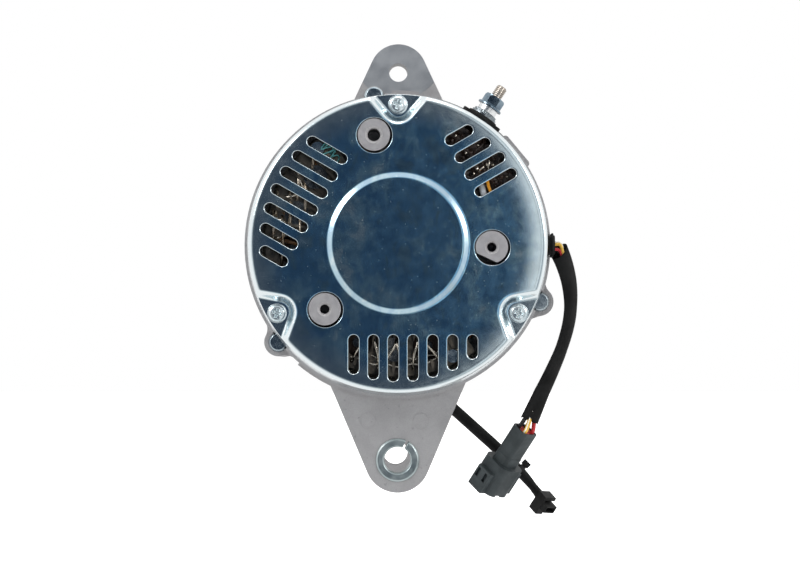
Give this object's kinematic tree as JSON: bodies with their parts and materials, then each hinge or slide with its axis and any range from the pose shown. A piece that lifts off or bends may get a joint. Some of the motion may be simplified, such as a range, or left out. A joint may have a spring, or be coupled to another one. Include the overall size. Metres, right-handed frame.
{
  "type": "vehicle alternator",
  "caption": "Claw-pole vehicle alternator: slotted pressed rear cover, cast housings with pivot feet and adjusting ear, side output stud, sleeved leads with plugs, fan and belt pulley.",
  "frame": {"origin": "centre of the rear pivot bore, on its axis, midway through the rear foot", "axes": "+Y along the pivot bore and the rotor axis, from the rear cover towards the pulley; +Z from the pivot bore up to the rotor axis and the adjusting ear; +X to the right when looking at the rear cover"},
  "size_m": [0.1786, 0.217, 0.264],
  "materials": {
    "cover_zinc": "satin, bright blue-grey zinc",
    "cast_aluminium": "as cast, matte",
    "bright_zinc": "bright zinc",
    "bushing_zinc": "satin zinc",
    "laminations": "matte, laminated",
    "copper": "enamelled",
    "plate_metal": "satin",
    "diode_metal": "satin",
    "board": "matte",
    "black_plastic": "satin",
    "grey_plastic": "satin",
    "black_rubber": "matte",
    "red_rubber": "matte",
    "wire_insulation": "satin, mixed colours",
    "carbon": "matte",
    "spring_steel": "bright",
    "stud_metal": "bright",
    "nut_zinc": "blue zinc",
    "bearing_steel": "polished",
    "cage_brass": "satin",
    "shaft_steel": "ground",
    "claw_iron": "machined",
    "pulley_iron": "machined",
    "pin_metal": "tinned"
  },
  "bodies": {
    "housing": {"rear_cover": "cover_zinc", "cover_screws": "bright_zinc", "rear_housing": "cast_aluminium", "front_housing": "cast_aluminium", "through_bolts": "bright_zinc", "stator_core": "laminations", "stator_winding": "copper", "rectifier_positive_plate": "plate_metal", "rectifier_negative_plate": "plate_metal", "rectifier_diodes": "diode_metal", "rectifier_board": "board", "inner_screws": "bright_zinc", "output_bar": "copper", "regulator": "black_plastic", "regulator_heat_sink": "plate_metal", "brush_holder": "black_plastic", "outer_brush_spring": "spring_steel", "inner_brush_spring": "spring_steel", "b_plus_stud": "stud_metal", "b_plus_insulator": "black_plastic", "b_plus_washer": "bright_zinc", "b_plus_collar": "bright_zinc", "b_plus_nut": "nut_zinc", "main_grommet": "black_rubber", "harness_wires": "wire_insulation", "harness_sleeve": "black_rubber", "grey_connector": "grey_plastic", "connector_seals": "red_rubber", "connector_pins": "pin_metal", "lead_grommet": "black_rubber", "lead_sleeve": "black_rubber", "lead_tie": "black_plastic", "black_connector": "black_plastic", "rear_bearing_outer_ring": "bearing_steel", "front_bearing_outer_ring": "bearing_steel", "bearing_seals": "black_rubber", "bearing_retainer": "bright_zinc", "retainer_screws": "bright_zinc"},
    "rotor": {"rotor_shaft": "shaft_steel", "rear_pole_claw": "claw_iron", "front_pole_claw": "claw_iron", "field_bobbin": "black_plastic", "field_coil": "copper", "slip_ring_sleeve": "black_plastic", "slip_rings": "copper", "spacer_collar": "shaft_steel", "cooling_fan": "bright_zinc", "pulley": "pulley_iron", "pulley_key": "shaft_steel", "lock_washer": "spring_steel", "pulley_nut": "bright_zinc", "rear_bearing_inner_ring": "bearing_steel", "front_bearing_inner_ring": "bearing_steel"},
    "rear_rollers": {"rear_bearing_balls": "bearing_steel", "rear_bearing_cage": "cage_brass"},
    "front_rollers": {"front_bearing_balls": "bearing_steel", "front_bearing_cage": "cage_brass"},
    "outer_brush": {"outer_brush": "carbon"},
    "inner_brush": {"inner_brush": "carbon"},
    "foot_bushing": {"foot_bushing": "bushing_zinc"}
  },
  "joints": [
    {"name": "rotor_spin", "type": "hinge", "parent": "housing", "child": "rotor", "pos_m": [0, 0, 0.115], "axis": [0, 1, 0], "continuous": true},
    {"name": "rear_roll", "type": "hinge", "parent": "housing", "child": "rear_rollers", "pos_m": [0, 0, 0.115], "axis": [0, 1, 0], "continuous": true},
    {"name": "front_roll", "type": "hinge", "parent": "housing", "child": "front_rollers", "pos_m": [0, 0, 0.115], "axis": [0, 1, 0], "continuous": true},
    {"name": "outer_brush_slide", "type": "slide", "parent": "housing", "child": "outer_brush", "axis": [0, 0, 1], "range_m": [0, 0.005], "stiffness_N_per_m": 300, "springref_m": -0.012, "deforming": ["outer_brush_spring"]},
    {"name": "inner_brush_slide", "type": "slide", "parent": "housing", "child": "inner_brush", "axis": [0, 0, 1], "range_m": [0, 0.005], "stiffness_N_per_m": 300, "springref_m": -0.012, "deforming": ["inner_brush_spring"]},
    {"name": "bushing_slide", "type": "slide", "parent": "housing", "child": "foot_bushing", "axis": [0, 1, 0], "range_m": [-0.002, 0.002]}
  ],
  "couplings": [
    {"joint": "rear_roll", "follows": "rotor_spin", "ratio": 0.383},
    {"joint": "front_roll", "follows": "rotor_spin", "ratio": 0.371}
  ]
}
